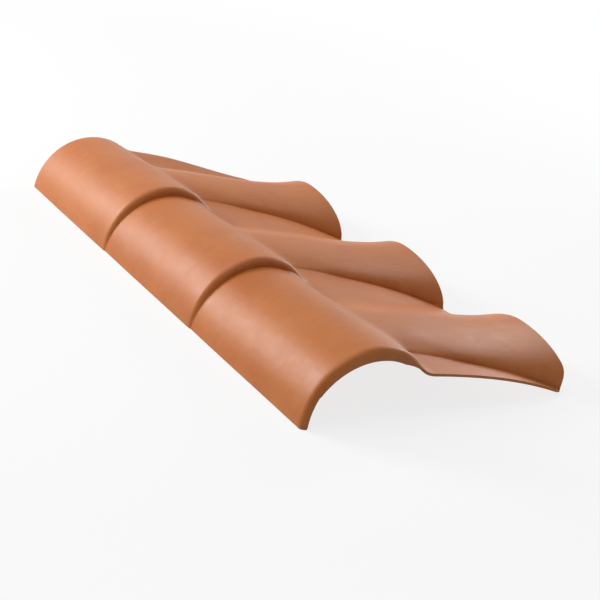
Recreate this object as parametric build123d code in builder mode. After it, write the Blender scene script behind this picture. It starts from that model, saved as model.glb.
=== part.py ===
"""Waved plastic ridge tile: a half-round ridge in three lapped steps, with a waved apron on one side.

It is one thin moulded sheet. The ridge runs along Y and its crown points to +Z. The apron lies on
the +X side and repeats the waves of the roof sheets that it covers. The origin is the centre of the
footprint, on the floor that the ridge's free edge and the apron's free edge both stand on.
Lengths are millimetres.
"""

import os
from math import sqrt

from build123d import *

# The whole moulding
PITCH = 194.0
WAVES = 3
LENGTH = 592.0
WIDTH = 287.0
WALL = 2.5
CORNER_RADIUS = 16.0

# The half-round ridge, in steps that each lap over the next nearer one
RIDGE_SPAN = 133.0
RIDGE_RISE = 58.0
LIP_RISE = 9.0
LIP_SIDE = 1.2
LIP_ROUND = 6.0
LIP_LAP = 14.0
LIP_LEAD = 4.0

# The waved apron, at four stations from its root under the ridge (0) to its free edge (1).
# A wave starts at a crease, climbs steeply to its crest and falls gently back to the flat pan.
APRON_ROOT = 73.0
ACROSS = (0.0, 0.40, 0.72, 1.0)
PAN_HEIGHTS = (43.0, 34.5, 21.5, WALL)
CREST_HEIGHTS = (56.0, 48.0, 41.0, 40.5)
CREASES = (50.0, 32.0, 17.0, -1.0)
CRESTS = (95.0, 92.0, 80.0, 80.0)
WAVE_ENDS = (150.0, 167.0, 175.0, 190.0)

# The far end, where the last wave falls to a lower valley and a narrow rim slopes up from it
VALLEY_HEIGHTS = (41.0, 27.0, 11.5, WALL)
RIM_WIDTHS = (30.0, 30.0, 22.0, 8.0)
RIM_HEIGHTS = (45.0, 34.5, 16.5, WALL)

# A gentle wave's side is a cubic curve. This is how far its handles reach along it.
HANDLE = 0.3642

# How far the filled forms are carried past the ends and the floor, before the moulding is trimmed
PAST = 6.0
TRIM_TOP = RIDGE_RISE + LIP_RISE + PAST

NEAR_Y = -LENGTH / 2
FAR_Y = LENGTH / 2
LEFT_X = -WIDTH / 2
RIGHT_X = WIDTH / 2
RIDGE_X = LEFT_X + RIDGE_SPAN / 2
ROOT_X = LEFT_X + APRON_ROOT
APRON_X = [ROOT_X + share * (RIGHT_X - ROOT_X) for share in ACROSS]


def upright_plane(y):
    """An upright plane across the ridge at y, with its own x along X and its own y along Z."""
    return Plane(origin=(0, y, 0), x_dir=(1, 0, 0), z_dir=(0, -1, 0))


def ridge_section(y, lip_share, inset):
    """The ridge's round section at y, from plain (a lip share of 0) to full lip (1), moved in by the inset."""
    half_span = RIDGE_SPAN / 2 - LIP_SIDE * (1 - lip_share)
    rise = RIDGE_RISE + LIP_RISE * lip_share
    radius = (half_span**2 + rise**2) / (2 * rise)
    centre_z = rise - radius
    half_chord = sqrt((radius - inset) ** 2 - (PAST + centre_z) ** 2)
    with BuildSketch(upright_plane(y)) as section:
        with BuildLine():
            ThreePointArc(
                (RIDGE_X - half_chord, -PAST),
                (RIDGE_X, rise - inset),
                (RIDGE_X + half_chord, -PAST),
            )
            Line((RIDGE_X - half_chord, -PAST), (RIDGE_X + half_chord, -PAST))
        make_face()
    return section.sketch.face()


def apron_section(station, inset):
    """The apron's section along the ridge: each wave is a quarter ellipse and an easy fall to the pan."""
    pan = PAN_HEIGHTS[station] - inset
    top = CREST_HEIGHTS[station] - inset
    valley = VALLEY_HEIGHTS[station] - inset
    rim_width = RIM_WIDTHS[station]
    rim_start = LENGTH - rim_width
    rim_rise = RIM_HEIGHTS[station] - VALLEY_HEIGHTS[station]
    plane = Plane(origin=(APRON_X[station], NEAR_Y, 0), x_dir=(0, 1, 0), z_dir=(1, 0, 0))
    with BuildSketch(plane) as section:
        with BuildLine():
            start = -PAST
            for wave in range(WAVES):
                crease = wave * PITCH + CREASES[station] + inset
                crest = wave * PITCH + CRESTS[station]
                end, foot = wave * PITCH + WAVE_ENDS[station], pan
                if wave == WAVES - 1:
                    end, foot = rim_start, valley
                handle = HANDLE * (end - crest)
                Line((start, pan), (crease, pan))
                EllipticalCenterArc((crest, pan), crest - crease, top - pan, start_angle=90, arc_size=90)
                Bezier((crest, top), (crest + handle, top), (end - handle, foot), (end, foot))
                start = end
            Polyline(
                (rim_start, valley),
                (LENGTH + PAST, valley + rim_rise * (1 + PAST / rim_width)),
                (LENGTH + PAST, -PAST),
                (-PAST, -PAST),
                (-PAST, pan),
            )
        make_face()
    return section.sketch.face()


def ridge_steps(inset):
    """The ridge, filled: three lapped steps, each highest and rounded over at its near end."""
    starts = [NEAR_Y] + [NEAR_Y + LIP_LEAD + step * PITCH for step in range(1, WAVES)]
    ends = [start + LIP_LAP for start in starts[1:]] + [FAR_Y + PAST]
    with BuildPart() as steps:
        for start, end in zip(starts, ends):
            with BuildPart(mode=Mode.PRIVATE) as ridge_step:
                loft(
                    [
                        ridge_section(start + inset, 1, inset),
                        ridge_section(end + inset, 0, inset),
                    ],
                    ruled=True,
                )
                lip_edge = ridge_step.edges().filter_by(GeomType.CIRCLE).sort_by(Axis.Y)[0]
                fillet(lip_edge, LIP_ROUND - inset)
            add(ridge_step.part)
    return steps.part


def apron_waves(inset):
    """The apron, filled: its sections blended smoothly from the root out to the free edge."""
    with BuildPart() as apron:
        loft([apron_section(station, inset) for station in range(len(ACROSS))])
    return apron.part


with BuildPart() as ridge_tile:
    add(ridge_steps(0))
    add(apron_waves(0))
    # The plan: square along the ridge's side, with the apron's free corners rounded
    with BuildSketch():
        with Locations((RIGHT_X, 0)):
            Rectangle(WIDTH + PAST, LENGTH, align=(Align.MAX, Align.CENTER))
        fillet(vertices().group_by(Axis.X)[-1], CORNER_RADIUS)
    extrude(amount=TRIM_TOP, mode=Mode.INTERSECT)
    # The hollow underside: the same two forms, moved in by the wall
    add(ridge_steps(WALL), mode=Mode.SUBTRACT)
    add(apron_waves(WALL), mode=Mode.SUBTRACT)
    # The near end, opened under its lip
    with BuildSketch(upright_plane(NEAR_Y - PAST)):
        add(ridge_section(NEAR_Y - PAST, 0, WALL))
    extrude(amount=-(PAST + 2 * LIP_ROUND), mode=Mode.SUBTRACT)

ridge_tile.part.label = "ridge_tile"
os.makedirs("parts", exist_ok=True)
export_step(ridge_tile.part, "parts/ridge_tile.step")
print("ridge_tile", ridge_tile.part.is_valid, round(ridge_tile.part.volume), ridge_tile.part.bounding_box())
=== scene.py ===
# %% [markdown]
# # A waved plastic ridge tile
#
# The real object is one thin sheet of terracotta-coloured plastic, pressed in a mould. A half-round
# ridge runs along it in three lapped steps, and a waved apron spreads from one side of the ridge.
# The frame holds its exact shape as one solid. This lesson lays a fine, even skin on that solid,
# softens the places that a mould leaves soft, gives the skin its wall, and then finishes it.

# %% Load the frame
from math import acos, cos, radians, sin

import bmesh
import bpy
import numpy as np
from mathutils import Matrix, Vector
from mathutils.bvhtree import BVHTree


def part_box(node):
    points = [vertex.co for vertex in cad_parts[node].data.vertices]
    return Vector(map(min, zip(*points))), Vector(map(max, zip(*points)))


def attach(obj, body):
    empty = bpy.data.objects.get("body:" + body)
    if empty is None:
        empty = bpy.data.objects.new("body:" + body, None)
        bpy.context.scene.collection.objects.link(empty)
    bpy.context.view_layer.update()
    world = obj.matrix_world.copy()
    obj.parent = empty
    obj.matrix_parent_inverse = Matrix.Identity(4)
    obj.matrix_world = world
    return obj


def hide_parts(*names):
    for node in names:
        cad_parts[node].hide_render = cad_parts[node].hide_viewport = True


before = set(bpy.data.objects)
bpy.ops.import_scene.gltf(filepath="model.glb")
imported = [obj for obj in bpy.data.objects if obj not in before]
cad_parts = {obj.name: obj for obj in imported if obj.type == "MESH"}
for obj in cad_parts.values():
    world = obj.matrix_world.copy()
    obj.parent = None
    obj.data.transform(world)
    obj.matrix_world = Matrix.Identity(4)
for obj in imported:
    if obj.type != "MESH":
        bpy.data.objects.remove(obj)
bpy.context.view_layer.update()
scene = bpy.context.scene
MM = 0.001

low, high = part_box("ridge_tile")
print("the tile's size in mm:", [round(side / MM, 1) for side in high - low])

# %% [markdown]
# ## Probing the solid
#
# The skin needs to know where the solid's features are: the laps of the ridge, and the creases where
# the waves start. They could be typed in, but then the skin and the solid could drift apart. Instead,
# a ray is dropped on the solid wherever a height is wanted. The frame's mesh is loose triangles, so
# the rays fall on a copy with its points joined up, which later serves as the mould.

# %% Join up a copy of the solid
MERGE_DISTANCE = 0.01 * MM


def make_active(thing):
    """Deselects all, then selects one object and makes it the active one."""
    bpy.ops.object.select_all(action="DESELECT")
    thing.select_set(True)
    bpy.context.view_layer.objects.active = thing


def merged_copy(node, name):
    """A copy of a node of the frame with its loose triangles joined up."""
    copy = node.copy()
    copy.data = node.data.copy()
    copy.name = name
    copy.parent = None
    scene.collection.objects.link(copy)
    make_active(copy)
    bpy.ops.object.mode_set(mode="EDIT")
    bpy.ops.mesh.select_all(action="SELECT")
    bpy.ops.mesh.remove_doubles(threshold=MERGE_DISTANCE)
    bpy.ops.object.mode_set(mode="OBJECT")
    return copy


mould = merged_copy(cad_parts["ridge_tile"], "mould")
print("the mould has", len(mould.data.vertices), "points")

# %% [markdown]
# A lap or a crease is the place on a line along the ridge where the height rises fastest, and a
# valley is the place where it is lowest. So two small searches find every feature.

# %% Drop rays on the solid
PROBE_STEP = 0.1 * MM
RAY_START = 1

rays = BVHTree.FromObject(mould, bpy.context.evaluated_depsgraph_get())


def height(x, y):
    """How high the solid's top is at a place in the plan."""
    return rays.ray_cast(Vector((x, y, RAY_START)), Vector((0, 0, -1)))[0].z


def steepest_rise(x, start, stop):
    """The place along the ridge, on the line at x, where the top rises fastest."""
    places = np.arange(start, stop, PROBE_STEP)
    rises = np.diff([height(x, y) for y in places])
    return places[np.argmax(rises)] + PROBE_STEP / 2


def lowest_place(x, start, stop):
    """The place along the ridge, on the line at x, where the top is lowest."""
    places = np.arange(start, stop, PROBE_STEP)
    return places[np.argmin([height(x, y) for y in places])]


print("the top at the middle of the plan is", round(height(0, 0) / MM, 1), "mm high")

# %% [markdown]
# The far end is the ridge's plain section. Its crown is the middle of what stands well above the
# apron there, and the crown and the foot together give the circle that the ridge is bent to.

# %% Find the ridge's circle and its laps
EDGE_INSET = 0.2 * MM
SCAN_INSET = 2 * MM
ABOVE_APRON = 0.93
LAPPED_STEPS = 3
LAP_WINDOW = 40 * MM

near, far = low.y + EDGE_INSET, high.y - EDGE_INSET
right = high.x - EDGE_INSET
scan = np.arange(low.x + SCAN_INSET, 0, PROBE_STEP)
far_heights = np.array([height(x, far) for x in scan])
crown_height = far_heights.max()
crown_x = scan[far_heights > ABOVE_APRON * crown_height].mean()
half_span = crown_x - low.x
ridge_radius = (half_span**2 + crown_height**2) / (2 * crown_height)
axis_z = crown_height - ridge_radius

lap_guesses = [near + (far - near) * step / LAPPED_STEPS for step in range(1, LAPPED_STEPS)]
laps = [steepest_rise(crown_x, y - LAP_WINDOW, y + LAP_WINDOW) for y in lap_guesses]
pitch = laps[1] - laps[0]
print("crown at x =", round(crown_x / MM, 1), "laps at y =", [round(y / MM, 1) for y in laps])

# %% [markdown]
# The creases slant across the apron, all alike. So one of them is read at a few places across, and a
# smooth cubic is laid through the readings. The valley in front of the far rim is read the same way.
# Both are read clear of the ridge and of the rounded corners. Over the ridge, left of the junction
# with the apron, their lines run straight across.

# %% Find the slanting creases and the far valley
CORNER_RADIUS = 16 * MM
CROWN_TO_JUNCTION = 42 * MM
JUNCTION_TO_READINGS = 18 * MM
READINGS = 12
CUBIC = 3
CREASE_SEARCH = (-8 * MM, 45 * MM)
VALLEY_SEARCH = (36 * MM, 6 * MM)

junction_x = crown_x + CROWN_TO_JUNCTION
read_at = np.linspace(junction_x + JUNCTION_TO_READINGS, right - CORNER_RADIUS - MM, READINGS)
crease_from, crease_to = laps[0] + CREASE_SEARCH[0], laps[0] + CREASE_SEARCH[1]
crease_reads = [steepest_rise(x, crease_from, crease_to) for x in read_at]
crease_cubic = np.polyfit(read_at, crease_reads, CUBIC)
valley_from, valley_to = far - VALLEY_SEARCH[0], far - VALLEY_SEARCH[1]
valley_reads = [lowest_place(x, valley_from, valley_to) for x in read_at]
valley_cubic = np.polyfit(read_at, valley_reads, CUBIC)
error = np.abs(np.polyval(crease_cubic, read_at) - crease_reads).max()
print("the crease's cubic is within", round(error / MM, 2), "mm of the readings")


def crease(x, wave):
    """Where the wave's crease crosses the line at x."""
    return np.polyval(crease_cubic, max(x, junction_x)) + (wave - 1) * pitch


def valley(x):
    """Where the far valley crosses the line at x."""
    return np.polyval(valley_cubic, np.clip(x, junction_x, right - CORNER_RADIUS))


# %% [markdown]
# ## The sheet's lines
#
# A flat grid could be pressed on the solid as it is, but its squares would cut the slanting creases
# into a saw's edge. So the grid's lines are led along the creases and the laps first. Columns run
# along the ridge, evenly spaced, and rows run across it, close together where the form turns sharply
# and far apart where it is calm. Left of the crown the columns start on a wider circle than the
# ridge's, at even angles from the foot up.

# %% Set out the columns
CELL = 2.4 * MM
FOOT_CLEARANCE = 0.4 * MM
BASE_RADIUS = 100 * MM

foot_angle = acos((FOOT_CLEARANCE - axis_z) / ridge_radius)
arc_columns = round(ridge_radius * foot_angle / CELL)
flat_columns = round((right - crown_x) / CELL)
arc_angles = np.linspace(foot_angle, 0, arc_columns + 1)
flat_places = np.linspace(crown_x, right, flat_columns + 1)[1:]
flat_heights = np.full(flat_columns, axis_z + BASE_RADIUS)

column_x = np.concatenate([crown_x - BASE_RADIUS * np.sin(arc_angles), flat_places])
column_z = np.concatenate([axis_z + BASE_RADIUS * np.cos(arc_angles), flat_heights])
print(len(column_x), "columns, the crown is number", arc_columns)

# %% [markdown]
# Eight features cross every column: the near end, the first crease, then a lap and a crease for each
# of the next two waves, the far valley and the far end. The rows between two features keep the same
# shares of the way from one to the other in every column. Those shares are worked out once, on the
# crown's column, from the fine steps that follow and come before a feature.

# %% Lead the lines along the features
LEAST_SPAN = 4 * MM


def feature_places(x):
    """The sheet's near end, creases, laps, valley and far end on the line at x, in order."""
    slant = crease(x, 1) - crease(junction_x, 1)
    first = max(crease(x, 0), near + LEAST_SPAN)
    last = min(valley(x), far - LEAST_SPAN)
    return np.array([
        near, first, laps[0] + slant, crease(x, 1), laps[1] + slant, crease(x, 2), last, far,
    ])


on_ridge = np.diff(feature_places(crown_x))
print("between the features on the ridge, in mm:", [round(span / MM, 1) for span in on_ridge])

# %% Set out the rows
LIP_STEPS = np.array([0.2, 0.6, 1.2, 2.0, 3.1, 4.5, 6.0, 7.8]) * MM
CREASE_STEPS = np.array([0.2, 0.8, 1.8, 3.2, 5.0, 7.2]) * MM
BEFORE_STEPS = np.array([2.6, 1.2, 0.2]) * MM
END_STEPS = np.array([1.0, 0.0]) * MM

from_start = (np.concatenate([[0], LIP_STEPS]), BEFORE_STEPS)
from_lap = (LIP_STEPS, BEFORE_STEPS)
from_crease = (CREASE_STEPS, BEFORE_STEPS)
from_valley = (CREASE_STEPS, END_STEPS)
fine_steps = [from_start, from_crease, from_lap, from_crease, from_lap, from_crease, from_valley]


def interval_rows(length, after, before):
    """Distances of the rows between two features: fine after the first, fine before the last."""
    calm_start, calm_end = after[-1], length - before[0]
    count = max(round((calm_end - calm_start) / CELL), 1)
    calm = np.linspace(calm_start, calm_end, count + 1)
    return np.concatenate([after[:-1], calm, length - before[1:]])


shares = [interval_rows(length, *steps) / length for length, steps in zip(on_ridge, fine_steps)]


def row_places(x):
    """Where every row crosses the line at x."""
    features = feature_places(x)
    intervals = zip(features, np.diff(features), shares)
    return np.concatenate([start + span * share for start, span, share in intervals])


row_y = np.array([row_places(x) for x in column_x]).T
rows, columns = row_y.shape
print(rows, "rows and", columns, "columns")

# %% [markdown]
# The two free corners are rounded in the plan. Cutting them off would leave slivers of squares. It is
# better to draw the square patch at each corner in to a quarter disc, where every square keeps a
# fair shape.

# %% Draw the free corners in
def round_corners(x, y):
    """Moves the places at the free corners in to their arcs."""
    across = np.clip((x - (right - CORNER_RADIUS)) / CORNER_RADIUS, 0, 1)
    along = np.clip((np.abs(y) - (far - CORNER_RADIUS)) / CORNER_RADIUS, 0, 1)
    drawn_x = x - CORNER_RADIUS * across * (1 - np.sqrt(1 - along**2 / 2))
    drawn_y = y - np.sign(y) * CORNER_RADIUS * along * (1 - np.sqrt(1 - across**2 / 2))
    return drawn_x, drawn_y


column_x, row_y = round_corners(np.broadcast_to(column_x, row_y.shape), row_y)
print("a corner's outermost point moves in by", round((right - column_x[0, -1]) / MM, 1), "mm")

# %% [markdown]
# ## Pressing the sheet
#
# The sheet starts as a grid primitive. Its left part is curled round the ridge like paper round a
# pipe, a little too large, so that every point looks straight at the surface it belongs to. A
# Shrinkwrap modifier in Project mode then presses the points on the mould along their own normals.
# Nearest Surface Point would be simpler, but it bunches the points up at the laps. Where rows lie
# very close together their normals are unsure, so from the crown to the right, where every point has
# to fall straight down, the rays from before give the heights once more.

# %% Curl the grid round the ridge
bpy.ops.object.select_all(action="DESELECT")
bpy.ops.mesh.primitive_grid_add(x_subdivisions=columns - 1, y_subdivisions=rows - 1, size=1)
tile = bpy.context.active_object
tile.name = "moulded_tile"


def read_points(thing):
    """The mesh's points as rows, columns and x, y, z."""
    flat = np.empty(len(thing.data.vertices) * 3)
    thing.data.vertices.foreach_get("co", flat)
    return flat.reshape(rows, columns, 3)


def write_points(thing, values):
    """Puts the points back on the mesh."""
    thing.data.vertices.foreach_set("co", values.reshape(-1))
    thing.data.update()


points = np.stack([column_x, row_y, np.broadcast_to(column_z, row_y.shape)], axis=-1)
write_points(tile, points)
print("the grid has", len(tile.data.vertices), "points for", rows * columns, "places")


# %% Press it on the mould
def apply_modifier(thing, kind, **settings):
    """Adds a modifier, sets it and applies it."""
    make_active(thing)
    modifier = thing.modifiers.new(kind.lower(), kind)
    for name, value in settings.items():
        setattr(modifier, name, value)
    bpy.ops.object.modifier_apply(modifier=modifier.name)


apply_modifier(
    tile, "SHRINKWRAP", target=mould, wrap_method="PROJECT",
    use_negative_direction=True, use_positive_direction=False,
)
pressed = read_points(tile)
for row in range(rows):
    for column in range(arc_columns, columns):
        x, y = points[row, column, :2]
        pressed[row, column] = x, y, height(x, y)
points = pressed
print("heights right of the crown run up to", round(points[:, arc_columns:, 2].max() / MM, 1), "mm")

# %% [markdown]
# The near end and the foot need care. The solid's near lip is cut open from below, so low on the
# left side a point can find nothing to land on, and the outermost points look past the foot. A real
# lip is rounded over evenly all the way down. So the rounding is drawn there as a quarter circle,
# and the foot is set on the floor, on the line through the two columns beside it.

# %% Round the near lip over and set the foot down
LIP_ROUND = 6 * MM

from_near_end = points[:, :, 1] - near
on_lip = np.nonzero(from_near_end[:, 0] < LIP_ROUND)[0]
after_lip = on_lip[-1] + 1
axis = np.array([crown_x, axis_z])
run, lift = (points[:, 1, [0, 2]] - points[:, 2, [0, 2]]).T
points[:, 0, 0] = np.maximum(points[:, 1, 0] - run * points[:, 1, 2] / lift, low.x + EDGE_INSET)
for column in range(arc_columns):
    outwards = np.array([-sin(arc_angles[column]), cos(arc_angles[column])])
    full = np.linalg.norm(points[after_lip, column, [0, 2]] - axis)
    for row in on_lip:
        from_top = LIP_ROUND - from_near_end[row, column]
        drop = LIP_ROUND - (LIP_ROUND**2 - from_top**2) ** 0.5
        points[row, column, [0, 2]] = axis + outwards * (full - drop)
points[:, 0, 2] = 0
write_points(tile, points)
print("rows on the near lip:", len(on_lip))

# %% [markdown]
# ## Softening the root of the apron
#
# On the solid the apron meets the ridge in a hard valley. A pressed sheet can't be folded so sharply
# there: the laps and the creases fade away towards it, and it flows from the ridge into each wave.
# So each point first gets a weight, which is whole on the valley's own line, the root, and fades out
# on both sides of it. The root is where a row leaves the ridge's round section.

# %% Weigh the points by their distance from the root
REACH_ON_RIDGE = 26 * MM
REACH_ON_APRON = 62 * MM
CLEAR_OF_RIDGE = 0.4 * MM


def root_of_row(row):
    """Where a row's points first stand clear of the ridge's circle at that place."""
    rise = points[row, arc_columns, 2]
    radius = (half_span**2 + rise**2) / (2 * rise)
    x, z = points[row, arc_columns:, 0], points[row, arc_columns:, 2]
    inside = np.clip(radius**2 - (x - crown_x) ** 2, 0, None)
    above = z - (rise - radius + np.sqrt(inside))
    return x[np.argmax(above > CLEAR_OF_RIDGE)]


root_x = np.array([root_of_row(row) for row in range(rows)])
past_root = points[:, :, 0] - root_x[:, None]
share_of_reach = np.where(past_root > 0, past_root / REACH_ON_APRON, -past_root / REACH_ON_RIDGE)
nearness = np.clip(1 - share_of_reach, 0, 1)
weights = nearness**2 * (3 - 2 * nearness)
print("the root runs from x =", round(root_x.min() / MM), "to", round(root_x.max() / MM), "mm")

# %% [markdown]
# The laps and the creases are faded by a blur of the heights along the ridge, one column at a time,
# as much as the weight says. A blur across the ridge would flatten the ridge itself.

# %% Fade the laps and creases out towards the root
BLUR = 7 * MM
BLUR_REACH = 3 * BLUR

even_places = np.arange(near, far, MM)
kernel_places = np.arange(-BLUR_REACH, BLUR_REACH + MM / 2, MM)
kernel = np.exp(-0.5 * (kernel_places / BLUR) ** 2)
kernel /= kernel.sum()
before = points[:, :, 2].copy()
for column in range(arc_columns, columns):
    places, heights = points[:, column, 1], points[:, column, 2]
    padded = np.pad(np.interp(even_places, places, heights), len(kernel) // 2, mode="edge")
    blurred = np.interp(places, even_places, np.convolve(padded, kernel, "valid"))
    points[:, column, 2] += weights[:, column] * (blurred - heights)
write_points(tile, points)
print("the blur moves a point by up to", round(np.abs(points[:, :, 2] - before).max() / MM, 1), "mm")

# %% [markdown]
# The Smooth modifier then rounds the valley itself. It takes the same weights as a vertex group, and
# it moves the points only up and down, so that the rows and columns stay where they were led.

# %% Smooth the root
SMOOTH_FACTOR = 0.5
SMOOTH_ROUNDS = 30

soft = tile.vertex_groups.new(name="soft_root")
flat_weights = weights.reshape(-1)
for index in np.nonzero(flat_weights > 0)[0]:
    soft.add([int(index)], float(flat_weights[index]), "REPLACE")
apply_modifier(
    tile, "SMOOTH", factor=SMOOTH_FACTOR, iterations=SMOOTH_ROUNDS,
    use_x=False, use_y=False, vertex_group="soft_root",
)
tile.vertex_groups.clear()
print("points with a weight:", np.count_nonzero(flat_weights))

# %% [markdown]
# ## The near end's flange
#
# Under the near lip the sheet turns down a few millimetres, which stiffens the end. The edges of the
# lip's end are selected by their place and extruded, and the new points are drawn in to the circle
# of the opening. Near the root the flange gets narrower, so that it doesn't end in a step there.

# %% Turn the near end down
WALL = 2.5 * MM
FLANGE_LEAST = 0.5 * MM
FLANGE_FADE = 24 * MM
FLANGE_LEFT = 0.1

opening = ridge_radius - WALL
flange_end = root_x[0] - CELL


def from_axis(point):
    """A point's distance from the ridge's axis."""
    return ((point.x - crown_x) ** 2 + (point.z - axis_z) ** 2) ** 0.5


def carries_flange(point):
    """Whether a point of the rim lies on the near lip, far enough out from the opening."""
    at_near_end = abs(point.y - near) < EDGE_INSET
    return at_near_end and from_axis(point) > opening + FLANGE_LEAST and point.x < flange_end


make_active(tile)
bpy.ops.object.mode_set(mode="EDIT")
bpy.ops.mesh.select_all(action="DESELECT")
mesh = bmesh.from_edit_mesh(tile.data)
for edge in mesh.edges:
    if edge.is_boundary and all(carries_flange(vertex.co) for vertex in edge.verts):
        edge.select_set(True)
bmesh.update_edit_mesh(tile.data)
bpy.ops.mesh.extrude_edges_move()
turned = [vertex for vertex in mesh.verts if vertex.select]
for vertex in turned:
    fade = min((flange_end - vertex.co.x) / FLANGE_FADE + FLANGE_LEFT, 1)
    scale = 1 - fade * (1 - opening / from_axis(vertex.co))
    vertex.co.x = crown_x + (vertex.co.x - crown_x) * scale
    vertex.co.z = axis_z + (vertex.co.z - axis_z) * scale
bmesh.update_edit_mesh(tile.data)
bpy.ops.object.mode_set(mode="OBJECT")
print("points on the flange's edge:", len(turned))

# %% [markdown]
# ## The wall
#
# The real sheet is equally thick all over. A second skin could be modelled under the first, but
# Solidify grows the wall inwards by itself, and the outer skin keeps its size. At the foot and the
# corners it can reach a little past the solid's box, so every point is held inside that box. The rim
# is left square, and Shade Smooth by Angle keeps it crisp while both skins stay smooth.

# %% Give the sheet its wall
SHARP = radians(38)

apply_modifier(tile, "SOLIDIFY", thickness=WALL, offset=-1, use_rim=True)
for vertex in tile.data.vertices:
    vertex.co = [min(max(value, least), most) for value, least, most in zip(vertex.co, low, high)]
make_active(tile)
bpy.ops.object.shade_smooth_by_angle(angle=SHARP)
bpy.data.objects.remove(mould)
print("faces of the finished sheet:", len(tile.data.polygons))

# %% [markdown]
# ## The plastic
#
# The tile is plastic that is coloured through, pressed in a mould that leaves it satin. Three things
# keep such a surface from looking flat. The colour clouds a little, from how the pigment mixed. Fine
# streaks cross the ridge, where the mould was rubbed down. And dust and handling dull it unevenly.
# An image could show all that, but noise on Object coordinates needs no unwrapping and stays put on
# the piece from every side.

# %% Noise on the piece's own coordinates
material = bpy.data.materials.new("terracotta_plastic")
material.use_nodes = True
tree = material.node_tree
shader = tree.nodes["Principled BSDF"]
place = tree.nodes.new("ShaderNodeTexCoord").outputs["Object"]


def noise(cells, detail, roughness=0.5, fineness=(1, 1, 1)):
    """Noise of so many cells a metre. A fineness below 1 on an axis draws it out along that axis."""
    mapping = tree.nodes.new("ShaderNodeMapping")
    mapping.inputs["Scale"].default_value = fineness
    tree.links.new(place, mapping.inputs["Vector"])
    texture = tree.nodes.new("ShaderNodeTexNoise")
    texture.inputs["Scale"].default_value = cells
    texture.inputs["Detail"].default_value = detail
    texture.inputs["Roughness"].default_value = roughness
    tree.links.new(mapping.outputs["Vector"], texture.inputs["Vector"])
    return texture.outputs["Fac"]


CLOUD_CELLS = 14
DUST_CELLS = 45
STREAK_CELLS = 260
GRAIN_CELLS = 1400
ACROSS_THE_RIDGE = (0.12, 1, 0.12)

clouds = noise(CLOUD_CELLS, detail=4)
streaks = noise(STREAK_CELLS, detail=2, fineness=ACROSS_THE_RIDGE)
grain = noise(GRAIN_CELLS, detail=2)
dust = noise(DUST_CELLS, detail=5, roughness=0.6)
print("clouds are about", round(1 / CLOUD_CELLS / MM), "mm wide")
print("grains are about", round(1 / GRAIN_CELLS / MM, 1), "mm wide")

# %% [markdown]
# Three small helpers turn noise into a finish. One stretches the middle of a noise's range to the
# range that is wanted, one mixes two colours, and one adds up values.


# %% Ranges, mixes and sums
def spread(value, low_in, high_in, low_out, high_out):
    """Maps a range of one value to another range, and holds it there."""
    node = tree.nodes.new("ShaderNodeMapRange")
    node.inputs["From Min"].default_value = low_in
    node.inputs["From Max"].default_value = high_in
    node.inputs["To Min"].default_value = low_out
    node.inputs["To Max"].default_value = high_out
    tree.links.new(value, node.inputs["Value"])
    return node.outputs["Result"]


def blend(first, second, share):
    """Mixes two colours by a share. A colour is a tuple or another node's output."""
    node = tree.nodes.new("ShaderNodeMix")
    node.data_type = "RGBA"
    sockets = [socket for socket in node.inputs if socket.enabled]
    for socket, value in zip(sockets, (share, first, second)):
        if isinstance(value, tuple):
            socket.default_value = (*value, 1)
        else:
            tree.links.new(value, socket)
    return next(socket for socket in node.outputs if socket.enabled)


def total(first, second, share):
    """The first value plus a share of the second."""
    node = tree.nodes.new("ShaderNodeMath")
    node.operation = "MULTIPLY_ADD"
    tree.links.new(second, node.inputs[0])
    node.inputs[1].default_value = share
    tree.links.new(first, node.inputs[2])
    return node.outputs["Value"]


# %% Colour
TERRACOTTA = (0.49, 0.145, 0.025)
DEEPER = (0.42, 0.105, 0.012)
CHALKY = (0.54, 0.20, 0.07)
# Each gives a range of the noise, and the second colour's share at the start and the end of it
DEEPER_IN_CLOUDS = (0.42, 0.68, 0, 0.7)
CHALKY_IN_DUST = (0.48, 0.72, 0, 0.4)
DEEPER_IN_STREAKS = (0.52, 0.75, 0, 0.25)

colour = blend(TERRACOTTA, DEEPER, spread(clouds, *DEEPER_IN_CLOUDS))
colour = blend(colour, CHALKY, spread(dust, *CHALKY_IN_DUST))
colour = blend(colour, DEEPER, spread(streaks, *DEEPER_IN_STREAKS))
tree.links.new(colour, shader.inputs["Base Color"])
print("the plastic's own colour is", TERRACOTTA)

# %% [markdown]
# Plastic from a worn mould is satin: where dust lies it is duller, and the light breaks a little on
# the streaks. The relief is far too fine to model, so a bump carries it.

# %% Dullness and relief
DULLNESS_IN_DUST = (0.3, 0.7, 0.36, 0.48)
DULLNESS_OF_STREAKS = 0.06
PLASTIC_IOR = 1.5
SPECULAR_LEVEL = 0.36
STREAK_RELIEF = 1.2
CLOUD_RELIEF = 2.0
RELIEF_STRENGTH = 0.35
RELIEF_DEPTH = 0.25 * MM

dullness = total(spread(dust, *DULLNESS_IN_DUST), streaks, DULLNESS_OF_STREAKS)
tree.links.new(dullness, shader.inputs["Roughness"])
shader.inputs["IOR"].default_value = PLASTIC_IOR
shader.inputs["Specular IOR Level"].default_value = SPECULAR_LEVEL

relief = tree.nodes.new("ShaderNodeBump")
relief.inputs["Strength"].default_value = RELIEF_STRENGTH
relief.inputs["Distance"].default_value = RELIEF_DEPTH
tree.links.new(total(total(grain, streaks, STREAK_RELIEF), clouds, CLOUD_RELIEF), relief.inputs["Height"])
tree.links.new(relief.outputs["Normal"], shader.inputs["Normal"])
print("the finish has", len(tree.nodes), "nodes")

# %% [markdown]
# The piece takes the finish.

# %% Put the finish on the piece
tile.data.materials.clear()
tile.data.materials.append(material)
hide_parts("ridge_tile")
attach(tile, "root")
print("the piece", tile.name, "is finished in", material.name)

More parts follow.
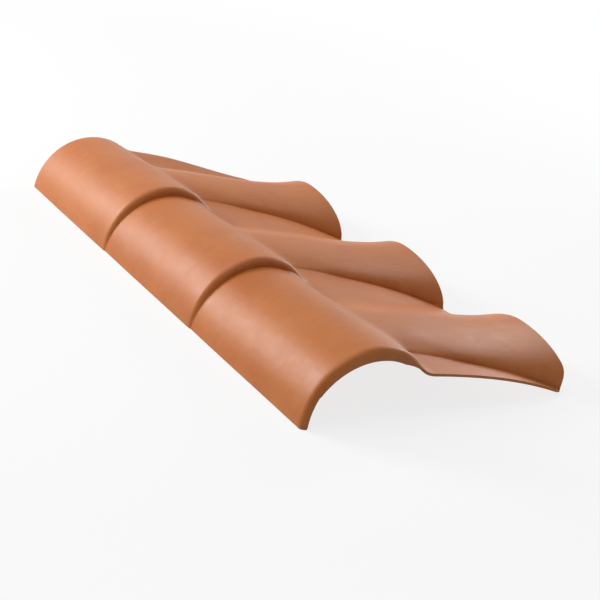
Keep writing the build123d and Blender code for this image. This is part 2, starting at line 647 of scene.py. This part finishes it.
# %% [markdown]
# ## Floor, sky and light
#
# The photograph is a cut-out on white. A floor that only glows white would lose the tile's shadow.
# So the floor has a pale surface of its own, and plain white is mixed into it where the camera or a
# reflection looks at it: four fifths under the tile, and all of it far away, where the floor then
# meets the white sky without a line. The white shows straight on and in the tile's gloss, and casts
# no other light.


# %% White where it is looked at
def white_where_seen(nodes, links, own, surface, share=None):
    """Mixes a shader with plain white where the camera or a glossy reflection looks.

    A surface gives the share that turns white there. The sky gives none, and all of it does.
    """
    path = nodes.new("ShaderNodeLightPath")
    seen = nodes.new("ShaderNodeMath")
    seen.operation = "MAXIMUM"
    links.new(path.outputs["Is Camera Ray"], seen.inputs[0])
    links.new(path.outputs["Is Glossy Ray"], seen.inputs[1])
    part = nodes.new("ShaderNodeMath")
    part.operation = "MULTIPLY"
    part.inputs[1].default_value = 1
    if share:
        links.new(share, part.inputs[1])
    links.new(seen.outputs["Value"], part.inputs[0])
    white = nodes.new("ShaderNodeEmission" if share else "ShaderNodeBackground")
    white.inputs["Color"].default_value = (1, 1, 1, 1)
    mix = nodes.new("ShaderNodeMixShader")
    links.new(part.outputs["Value"], mix.inputs[0])
    links.new(own, mix.inputs[1])
    links.new(white.outputs[0], mix.inputs[2])
    links.new(mix.outputs["Shader"], surface)


WHITE_SHARE = 0.8
WHITE_FROM, WHITE_TO = 0.5, 1.6


def white_share_by_distance(nodes, links):
    """The share of plain white on the floor, which grows from under the tile to all of it far away."""
    on_floor = nodes.new("ShaderNodeTexCoord")
    distance = nodes.new("ShaderNodeVectorMath")
    distance.operation = "LENGTH"
    links.new(on_floor.outputs["Object"], distance.inputs[0])
    growing = nodes.new("ShaderNodeMapRange")
    growing.inputs["From Min"].default_value = WHITE_FROM
    growing.inputs["From Max"].default_value = WHITE_TO
    growing.inputs["To Min"].default_value = WHITE_SHARE
    links.new(distance.outputs["Value"], growing.inputs["Value"])
    return growing.outputs["Result"]


# %% Floor
FLOOR_SIZE = 12
FLOOR_DROP = 0.1 * MM
FLOOR_ALBEDO = 0.9

bpy.ops.object.select_all(action="DESELECT")
bpy.ops.mesh.primitive_plane_add(size=FLOOR_SIZE, location=(0, 0, -FLOOR_DROP))
floor = bpy.context.active_object
floor.name = "floor"
paper = bpy.data.materials.new("pale_floor")
paper.use_nodes = True
paper_nodes, paper_links = paper.node_tree.nodes, paper.node_tree.links
paper_shader = paper_nodes["Principled BSDF"]
paper_shader.inputs["Base Color"].default_value = (FLOOR_ALBEDO,) * 3 + (1,)
paper_shader.inputs["Roughness"].default_value = 1
paper_shader.inputs["Specular IOR Level"].default_value = 0
white_where_seen(
    paper_nodes, paper_links, paper_shader.outputs["BSDF"],
    paper_nodes["Material Output"].inputs["Surface"], white_share_by_distance(paper_nodes, paper_links),
)
floor.data.materials.append(paper)
print("the floor is", FLOOR_SIZE, "m wide")

# %% Sky
SKY = 0.16

world = bpy.data.worlds.new("pale_sky")
world.use_nodes = True
scene.world = world
sky_nodes, sky_links = world.node_tree.nodes, world.node_tree.links
sky = sky_nodes["Background"]
sky.inputs["Color"].default_value = (1, 1, 1, 1)
sky.inputs["Strength"].default_value = SKY
white_where_seen(
    sky_nodes, sky_links, sky.outputs["Background"], sky_nodes["World Output"].inputs["Surface"],
)
print("the sky lights the tile at a strength of", SKY)

# %% [markdown]
# Three soft lamps light the tile. The key stands low behind it on the left, so that the ridge's left
# flank shines and the near lip's end face stays dark. A large lamp hangs high on the left. A small
# one stands low on the right, a little to the far side, and draws out the waves' free edge.

# %% Soft lamps
TARGET = Vector((0, 0, 30 * MM))
LAMP_DISTANCE = 2.0


def lamp(name, azimuth, elevation, size, watts):
    """A square soft lamp that looks at the tile. Azimuth 0 stands at the near end, 90 on the right."""
    turn, lift = radians(azimuth), radians(elevation)
    direction = Vector((sin(turn) * cos(lift), -cos(turn) * cos(lift), sin(lift)))
    light = bpy.data.lights.new(name, "AREA")
    light.shape = "SQUARE"
    light.size = size
    light.energy = watts
    stand = bpy.data.objects.new(name, light)
    stand.location = TARGET + direction * LAMP_DISTANCE
    stand.rotation_euler = direction.to_track_quat("Z", "Y").to_euler()
    scene.collection.objects.link(stand)
    print("the", name, "lamp stands at", [round(value, 2) for value in stand.location])


lamp("key", azimuth=-138, elevation=23, size=0.9, watts=36)
lamp("top", azimuth=-90, elevation=78, size=1.6, watts=14)
lamp("side", azimuth=112, elevation=22, size=0.8, watts=12)

# %% [markdown]
# ## Camera
#
# The camera stands at the photograph's angle: low at the near left, with a long lens, and rolled a
# little so that upright lines lean to the right.

# %% Set up the camera
AIM = Vector((-41.0, -114.7, 30.0)) * MM
AZIMUTH, ELEVATION, ROLL = radians(34.79), radians(21.35), radians(10.03)
DISTANCE = 1306 * MM
LENS = 83.92
SENSOR_WIDTH = 36

towards = Vector((sin(AZIMUTH) * cos(ELEVATION), cos(AZIMUTH) * cos(ELEVATION), -sin(ELEVATION)))
camera = bpy.data.objects.new("camera", bpy.data.cameras.new("camera"))
camera.data.lens = LENS
camera.data.sensor_width = SENSOR_WIDTH
scene.collection.objects.link(camera)
stand_at = Matrix.Translation(AIM - towards * DISTANCE)
level = (-towards).to_track_quat("Z", "Y").to_matrix().to_4x4()
camera.matrix_world = stand_at @ level @ Matrix.Rotation(ROLL, 4, "Z")
scene.camera = camera
print("the camera stands at", [round(value, 2) for value in stand_at.translation])

# %% [markdown]
# The Standard view shows each colour about as it is written.

# %% Colour management
scene.view_settings.view_transform = "Standard"
